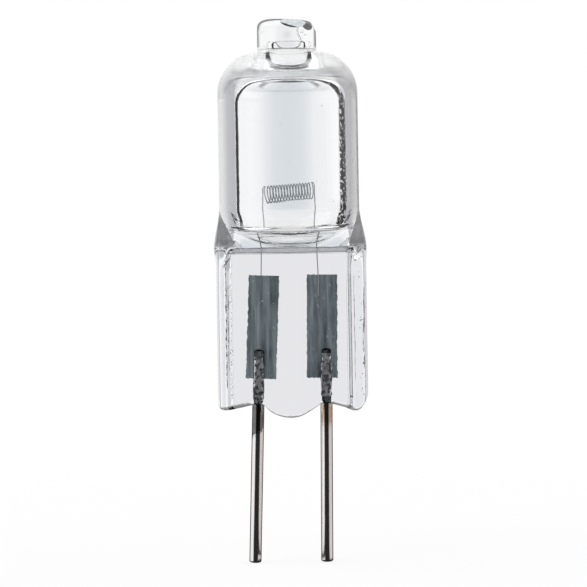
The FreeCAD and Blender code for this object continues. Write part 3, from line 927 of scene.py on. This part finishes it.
def wall_tone(g, facing, across, height):
    """The tube's tone, painted shade by facing where the wall is seen at a slant, darker towards its right side,
    away from the light, and the paler web of the pinch.
    """
    wall = g.ramp(facing, [
        (0.0, (0.56, 0.61, 0.675, 1)), (0.02, (0.6, 0.65, 0.71, 1)), (0.07, (0.82, 0.83, 0.87, 1)),
        (0.29, 0.9), (0.36, (0.22, 0.22, 0.245, 1)), (0.5, (0.26, 0.26, 0.285, 1)),
        (0.68, 0.55), (0.85, 0.5), (0.95, 0.2), (1.0, 0.1),
    ])
    # Painted shade: the wall is darkened towards its right side, away from the light.
    right = g.profile(across, [(2.9, 0.0), (3.5, 0.36)])
    above_flare = g.profile(height, [(10.6, 0.0), (11.4, 1.0)])
    wall = g.mix(g.times(right, above_flare), wall, grey(0.0))
    straight_on = g.level(facing, [(0.07, 1.0), (0.12, 0.0)])
    web = g.times(straight_on, g.math("LESS_THAN", height, LEDGE_FOOT))
    return g.mix(web, wall, (0.71, 0.7, 0.74, 1))


def tip_tone(g, facing, place, height):
    """The melted tip: clear, with painted shade at its edge and a painted dark spot on its front."""
    rim = g.profile(height, [(21.5, 0.0), (22.1, 0.08)])
    melted = g.ramp(g.plus(facing, rim), [
        (0.0, 0.8), (0.08, 0.94), (0.54, 0.9), (0.66, 0.12), (0.74, 0.006), (1.0, 0.004),
    ])
    shade_spot = g.profile(g.measure("DISTANCE", place, TIP_SHADE_SPOT), [(0.05, 0.35), (0.32, 0.0)])
    return g.mix(shade_spot, melted, grey(0.3))


def foot_tone(g, facing, place, across):
    """Painted shade: the uneven dark edge along the foot of the pinch, darkest at the left."""
    left = g.profile(across, [(-2.8, 0.3), (-2.3, 0.0)])
    uneven = g.plus(facing, g.times(g.grain(place, 2.5), 0.5))
    return g.ramp(g.plus(uneven, left), [
        (0.0, 0.9), (0.15, 0.75), (0.3, 0.1), (0.7, 0.03), (1.0, 0.02),
    ])


def pressed_tone(g, place, height):
    """Painted shade: the mottled grey ledge, and the darker sides of the flare above it."""
    mottle = g.ramp(g.noise(place, 5.0, 4.0, 0.6), [
        (0.3, (0.2, 0.225, 0.245, 1)), (0.7, (0.36, 0.39, 0.42, 1)),
    ])
    flare = g.profile(height, [(LEDGE_TOP + 0.03, 0.0), (LEDGE_TOP + 0.18, 0.75)])
    return g.mix(flare, mottle, grey(0.05))


def chip_tone(g, place, chip):
    """Tone of the broken faces, with painted shade along the chip's lip, and how dull they are."""
    shells = g.times(g.grain(place, 7.0), 0.6)
    start = Vector(LIP_START).dot(Vector(LIP_UP))
    above = g.minus(g.measure("DOT_PRODUCT", place, LIP_UP), start)
    lip = g.profile(g.plus(above, g.times(shells, 0.12)), [(0.0, 0.05), (0.04, 1.0)])
    fresh = g.times(g.plus(chip, shells), lip)
    tone = g.ramp(fresh, [
        (0.0, 0.01), (0.35, 0.12), (0.7, (0.5, 0.55, 0.57, 1)), (1.0, (0.8, 0.85, 0.87, 1)),
    ])
    return tone, g.level(fresh, [(0.0, 1.0), (0.4, 0.95), (0.7, 0.5), (1.0, 0.35)])


def skin_painted_light(g, facing, across, mark):
    """Painted light: whitening at the crown's edge, at the tip's root and on the shoulder beside the bore."""
    crown = g.times(mark["crown"], g.level(facing, [(0.7, 0.0), (0.9, 0.9)]))
    root = g.times(mark["root"], g.level(facing, [(0.1, 0.0), (0.35, 0.5)]))
    beside = g.profile(g.math("ABSOLUTE", across), [(1.52, 0.0), (2.2, 0.5)])
    shoulder = g.times(g.rest(mark["tube"]), g.rest(mark["tip"]), beside)
    return g.most(crown, root, shoulder)


def glass_skin(g, facing, place):
    """Tone of the glass where it is entered from outside, mostly painted light and shade by facing, and how
    clear it is there.
    """
    mark = {name: g.attribute(name) for name in SKIN_MARKS}
    chip = g.attribute("chip")
    across, _, height = g.split(place)
    # Painted shade: the shoulder dims where it is seen at a slant.
    pale = g.ramp(facing, [(0.0, 0.86), (0.1, 0.96), (0.6, 0.9), (1.0, 0.7)])
    tone = g.mix(mark["tube"], pale, wall_tone(g, facing, across, height))
    tone = g.mix(mark["tip"], tone, tip_tone(g, facing, place, height))
    tone = g.mix(mark["foot"], tone, foot_tone(g, facing, place, across))
    # Painted shade on the flat sides of the flare and the ledge, where they are seen at a slant.
    pressed = g.times(mark["facet"], g.level(facing, [(0.2, 0.0), (0.4, 0.85)]))
    tone = g.mix(pressed, tone, pressed_tone(g, place, height))
    broken = g.math("GREATER_THAN", chip, 0.01)
    fresh, dull = chip_tone(g, place, chip)
    tone = g.mix(broken, tone, fresh)
    # Painted light: the crown's edge, the tip's root and the shoulder beside the bore are whitened.
    painted_pale = skin_painted_light(g, facing, across, mark)
    tone = g.mix(painted_pale, tone, grey(0.95))
    return tone, g.rest(g.most(pressed, g.times(broken, dull), painted_pale))


def cavity_line(g, facing, place):
    """A painted reflection: the dark line where the cavity's wall starts to mirror, broad and speckled on the
    right, the side away from the light.
    """
    across, _, height = g.split(place)
    bore = g.attribute("bore")
    right = g.profile(across, [(1.2, 0.0), (2.8, 1.0)])
    broader = g.plus(g.times(right, LINE_GROWTH), g.times(bore, LINE_GROWTH))
    nearness = g.math("DIVIDE", g.minus(facing, MIRROR_START), g.plus(LINE_WIDTH, broader))
    nearness = g.plus(g.times(nearness, 0.5), g.times(g.grain(place, 9.0, 4.0, 0.7), 0.3))
    line = g.level(g.plus(nearness, 0.5), [(0.0, 0.0), (0.12, 1.0), (0.62, 1.0), (0.74, 0.0)])
    level = g.plus(height, g.times(right, 0.35))
    by_floor = g.profile(level, [(8.0, 1.0), (10.0, 0.35), (10.4, 0.35), (10.8, 1.0)])
    bore_mouth = g.times(g.profile(height, [(18.9, 1.0), (19.15, 0.0)]), bore)
    specks = g.level(g.noise(place, 7.0, 2.0), [(0.56, 0.0), (0.62, 0.95)])
    return g.times(line, by_floor, g.rest(bore_mouth), g.rest(g.times(specks, right)))


def ceiling_share(g, height):
    """How much a place on the cavity belongs to its ceiling, less so by the bore."""
    high = g.profile(height, [(17.6, 0.0), (18.2, 1.0)])
    reach = g.measure("LENGTH", g.place((1, 1, 0)))
    return g.times(high, g.profile(reach, [(1.6, 0.4), (2.08, 1.0)]))


def ceiling_crease(g, facing, across):
    """Painted shade: the dark crease of the ceiling on either side of the bore, a band of facing."""
    beside = g.profile(g.math("ABSOLUTE", across), [(1.2, 0.0), (1.6, 1.0), (2.4, 1.0), (2.72, 0.2)])
    return g.times(beside, g.level(facing, [(0.45, 0.0), (0.475, 0.8), (0.515, 0.8), (0.54, 0.0)]))


def floor_loops(g, place, height):
    """Painted shade: dark oval loops on the cavity's floor."""
    rim = g.measure("LENGTH", g.place(FLOOR_OVAL))
    rim = g.plus(rim, g.times(g.grain(place, 1.2), 0.2))
    loops = g.level(rim, [
        (0.53, 0.3), (0.55, 1.0), (0.6, 1.0), (0.62, 0.25), (0.77, 0.25), (0.79, 1.0), (0.84, 1.0),
        (0.86, 0.25), (0.92, 0.25), (0.94, 1.0), (0.98, 1.0), (1.0, 0.2),
    ])
    return g.times(g.profile(height, [(10.45, 1.0), (10.6, 0.0)]), loops)


def gap_shade(g, place, across, height):
    """Painted shade: dark lumps in the gaps of air round the pins, and dark dashes in the lines of air in the
    ribs.
    """
    aside = g.math("ABSOLUTE", across)
    by_pins = g.times(g.profile(height, [(4.2, 1.0), (4.5, 0.0)]), g.profile(aside, [(2.72, 1.0), (2.88, 0.0)]))
    lumps = g.level(g.noise(place, 4.0, 4.0, 0.6), [(0.34, 0.3), (0.56, 1.0)])
    in_ribs = g.times(g.profile(height, [(8.6, 1.0), (9.0, 0.0)]), g.profile(aside, [(2.88, 0.0), (3.12, 1.0)]))
    dashes = g.level(g.noise(place, 2.5, 4.0, 0.7), [(0.42, 0.0), (0.52, 0.85)])
    return g.most(g.times(by_pins, lumps), g.times(in_ribs, dashes))


def glass_material():
    """Clear quartz. Most of its lines are painted shade and painted reflection, and lie on the cavity, where it
    is met from inside the glass.
    """
    g = Graph(bpy.data.materials.new("quartz"))
    facing = g.facing()
    behind = g.add("ShaderNodeNewGeometry").outputs["Backfacing"]
    cavity = g.attribute("cavity")
    place = g.place()
    across, _, height = g.split(place)
    outside = g.times(g.rest(behind), g.rest(cavity))
    across_gap = g.times(g.rest(behind), cavity)
    inside = g.times(behind, cavity)

    skin, clear = glass_skin(g, facing, place)
    # Painted reflection: a near black, metal-like line on the cavity's wall where it starts to mirror.
    line = g.times(inside, cavity_line(g, facing, place))
    ceiling = g.times(inside, ceiling_share(g, height))
    # Painted reflection: the ceiling turns pale and passes less light where it is met at a slant from inside the
    # glass.
    ceiling_pale = g.times(ceiling, g.level(facing, [(0.38, 0.0), (0.52, 0.9)]))
    crease = g.times(ceiling, ceiling_crease(g, facing, across))
    loops = g.times(inside, floor_loops(g, place, height))
    # Painted shade, near black and passing less light: the ceiling's crease, the floor's loops and the gaps of
    # air.
    painted_dark = g.most(crease, loops, g.times(inside, gap_shade(g, place, across, height)))

    # The bore and drop seen across the gap, with painted shade where they turn edge-on.
    drop = g.ramp(facing, [(0.0, 0.92), (0.48, 0.95), (0.66, 0.08), (0.95, 0.05), (1.0, 0.2)])
    colour = g.mix(outside, grey(0.98), skin)
    colour = g.mix(g.times(across_gap, g.attribute("bore")), colour, drop)
    colour = g.mix(line, colour, grey(0.012))
    colour = g.mix(ceiling_pale, colour, CEILING_PALE)
    colour = g.mix(painted_dark, colour, SHADE_DARK)
    # Where the skin passes less light: painted shade on the facets, painted light, and the dull broken faces.
    skin_opacity = g.times(outside, g.rest(clear))
    output = g.surface({
        "Base Color": colour,
        "Metallic": line,
        "Roughness": 0.0,
        "IOR": QUARTZ_IOR,
        "Transmission Weight": g.times(g.rest(skin_opacity), g.rest(g.most(ceiling_pale, painted_dark))),
        "Normal": g.bump(g.noise(place, 1.4), 0.02, 0.2),
    })
    tint = g.add("ShaderNodeVolumeAbsorption", {"Color": QUARTZ_TINT, "Density": 30.0})
    g.tree.links.new(tint.outputs[0], output.inputs["Volume"])
    return g.owner


def pin_material():
    """Drawn wire, with painted shade at its edges, scorched next to the glass, and beaded inside it, where its
    near black is painted shade.
    """
    g = Graph(bpy.data.materials.new("pin_metal"))
    place = g.place()
    across, _, height = g.split(place)
    left = g.math("LESS_THAN", across, 0.0)
    streaks = g.noise(g.place((9, 9, 0.5)), 1.0, 4.0, 0.6)
    blotch = g.noise(place, 2.2, 4.0, 0.6)
    drawn = g.mix(streaks, (0.78, 0.75, 0.74, 1), (0.95, 0.93, 0.92, 1))
    # Painted shade: the wire darkens towards its edges as they turn away.
    drawn = g.mix(g.level(g.facing(), [(0.4, 0.0), (0.62, 1.0)]), drawn, (0.05, 0.045, 0.045, 1))
    ragged = g.plus(height, g.times(g.minus(blotch, 0.5), 1.6))
    brown = g.times(g.profile(ragged, [(-1.4, 0.0), (-0.7, 0.75)]), g.rest(left))
    burnt = g.mix(brown, drawn, (0.42, 0.29, 0.17, 1))
    slant = g.plus(height, g.times(g.plus(across, 2.3), -0.72))
    torn = g.times(g.grain(place, 5.0, 4.0, 0.6), 0.7)
    scorch = g.times(g.profile(g.plus(slant, torn), [(-1.73, 0.0), (-1.61, 0.92)]), left)
    burnt = g.mix(scorch, burnt, g.mix(blotch, (0.03, 0.03, 0.03, 1), (0.22, 0.21, 0.2, 1)))
    # Painted shade: inside the glass the pin is painted near black, with paler beads.
    beads = g.level(g.noise(g.place((1.5, 1.5, 3.5)), 1.0), [(0.35, 0.0), (0.7, 1.0)])
    sealed = g.mix(beads, (0.008, 0.01, 0.012, 1), (0.11, 0.125, 0.135, 1))
    g.surface({
        "Base Color": g.mix(g.profile(height, [(0.2, 0.0), (0.3, 1.0)]), burnt, sealed),
        "Metallic": 1.0,
        "Roughness": g.plus(0.08, g.times(streaks, 0.1)),
        "Specular Tint": (0.1, 0.09, 0.09, 1),
        "Normal": g.bump(streaks, 0.15, 0.02),
    })
    return g.owner


def foil_material():
    """Rolled foil with streaks along it, clouds and pale spots."""
    g = Graph(bpy.data.materials.new("foil"))
    place = g.place()
    streaks = g.noise(g.place((4, 1, 0.26)), 1.0, 4.0, 0.65)
    clouds = g.level(g.noise(place, 0.9), [(0.35, 0.0), (0.7, 0.55)])
    spots = g.level(g.noise(place, 6.0, 2.0), [(0.68, 0.0), (0.74, 0.8)])
    rolled = g.ramp(streaks, [
        (0.3, (0.06, 0.075, 0.085, 1)), (0.5, (0.155, 0.19, 0.205, 1)), (0.72, (0.38, 0.43, 0.45, 1)),
    ])
    rolled = g.mix(clouds, rolled, (0.24, 0.29, 0.31, 1))
    colour = g.mix(spots, rolled, (0.5, 0.54, 0.57, 1))
    bump = g.bump(streaks, 0.35, 0.05)
    g.surface({"Base Color": colour, "Metallic": 0.6, "Roughness": 0.45, "Normal": bump})
    return g.owner


def tungsten_material():
    g = Graph(bpy.data.materials.new("tungsten"))
    colour = g.mix(g.noise(g.place(), 14.0), (0.3, 0.32, 0.32, 1), (0.5, 0.52, 0.52, 1))
    g.surface({"Base Color": colour, "Metallic": 0.4, "Roughness": 0.45})
    return g.owner


# Studio

def mirrored_rays(g, path):
    """Rays that metal mirrors, without those that pass through glass."""
    return g.times(path["Is Glossy Ray"], g.rest(path["Is Transmission Ray"]))


def floor_material():
    """White paper; only for rays that metal mirrors is it painted dark in front of and under the pins and tinted
    at the right, painted reflections.
    """
    g = Graph(bpy.data.materials.new("floor_white"))
    path = g.add("ShaderNodeLightPath").outputs
    mirrored = mirrored_rays(g, path)
    seen = g.most(path["Is Camera Ray"], path["Is Glossy Ray"], path["Is Transmission Ray"])
    place = g.place()
    across, depth, _ = g.split(place)
    nearest_pin = g.times(g.math("SIGN", across), PIN_SPACING / 2 + 0.1)
    aside = g.minus(across, nearest_pin)
    from_pin = g.math("SQRT", g.plus(g.times(aside, aside), g.times(depth, depth)))
    forward = g.math("DIVIDE", g.times(depth, -1.0), from_pin)
    ahead = g.level(forward, [(0.6, 0.0), (0.8, 1.0)])
    under = g.profile(from_pin, [(1.2, 1.0), (2.2, 0.0)])
    # Painted reflection: the floor is dark in front of and under the pins only for rays that metal mirrors.
    mirror_dark = g.times(mirrored, g.most(ahead, under))
    to_right = g.math("DIVIDE", aside, from_pin)
    tint_share = g.times(mirrored, g.level(to_right, [(0.1, 0.0), (0.4, 1.0)]))
    white = g.mix(g.noise(g.place((0.04, 0.04, 0.04)), 1.0, 2.0), grey(0.86), grey(0.9))
    matt = g.add("ShaderNodeBsdfDiffuse", {"Color": g.mix(mirror_dark, white, grey(0.02))})
    glow = g.add("ShaderNodeEmission", {"Color": g.mix(tint_share, grey(1.0), MIRROR_TINT), "Strength": 1.0})
    paper = g.profile(g.measure("LENGTH", place), [(10.0, 0.8), (90.0, 1.0)])
    share = g.times(seen, paper, g.rest(mirror_dark))
    mixed = g.add("ShaderNodeMixShader", {0: share, 1: matt.outputs[0], 2: glow.outputs[0]})
    g.add("ShaderNodeOutputMaterial", {"Surface": mixed.outputs[0]})
    return g.owner


def make_floor():
    place = (0, 0, floor_level * MM)
    bpy.ops.mesh.primitive_grid_add(x_subdivisions=8, y_subdivisions=8, size=2.0, location=place)
    floor = bpy.context.object
    floor.name = "floor"
    floor.data.materials.append(floor_material())


def make_world():
    """White for the camera; greyer from above through glass, and black in front for mirroring metal."""
    world = bpy.data.worlds.new("studio")
    bpy.context.scene.world = world
    g = Graph(world)
    path = g.add("ShaderNodeLightPath").outputs
    to_right, to_back, up = g.split(g.add("ShaderNodeTexCoord").outputs["Generated"])
    bands = g.ramp(g.math("ABSOLUTE", up), [
        (0.0, 1.0), (0.42, 1.0), (0.62, 0.78), (0.8, 0.72), (0.93, 0.95),
    ])
    front = g.ramp(g.times(to_back, -1.0), [(0.6, 1.0), (0.8, 0.03), (1.0, 0.02)])
    sides = g.mix(g.level(to_right, [(0.1, 0.0), (0.4, 1.0)]), bands, MIRROR_TINT, "MULTIPLY")
    seen = g.mix(path["Is Transmission Ray"], grey(0.75), bands)
    seen = g.mix(mirrored_rays(g, path), seen, g.mix(1.0, sides, front, "MULTIPLY"))
    seen = g.mix(path["Is Camera Ray"], seen, grey(1.0))
    back = g.add("ShaderNodeBackground", {"Color": seen, "Strength": 1.0})
    g.add("ShaderNodeOutputWorld", {"Surface": back.outputs[0]})


def add_softbox(name, place, watts):
    data = bpy.data.lights.new(name, "AREA")
    data.shape = "DISK"
    data.size = SOFTBOX_SIZE
    data.energy = watts
    light = bpy.data.objects.new(name, data)
    light.location = place
    light.rotation_euler = (-Vector(place)).to_track_quat("-Z", "Y").to_euler()
    bpy.context.scene.collection.objects.link(light)


def make_camera():
    data = bpy.data.cameras.new("camera")
    data.lens = LENS
    data.sensor_width = SENSOR
    frame_side = PHOTO_SIDE / PIXELS_PER_MM * MM
    distance = frame_side * LENS / SENSOR
    camera = bpy.data.objects.new("camera", data)
    back = Vector((0, -math.cos(CAMERA_RISE), math.sin(CAMERA_RISE)))
    upright = back.to_track_quat("Z", "Y").to_matrix().to_4x4()
    turn = Matrix.Rotation(CAMERA_ROLL, 4, "Z")
    camera.matrix_world = Matrix.Translation(PHOTO_CENTRE * MM + back * distance) @ upright @ turn
    data.clip_start = distance * 0.01
    data.clip_end = 10.0
    bpy.context.scene.collection.objects.link(camera)
    bpy.context.scene.camera = camera


glass = make_glass(glass_material())
dress(glass, "quartz_envelope")
metal = pin_material()
strip = foil_material()
for side in (-1, 1):
    make_pin(side, metal)
    make_foil(side, strip)
make_filament(tungsten_material())

make_floor()
make_world()
for name, (place, watts) in SOFTBOXES.items():
    add_softbox(name, place, watts)
make_camera()
bpy.context.scene.view_settings.view_transform = "Standard"
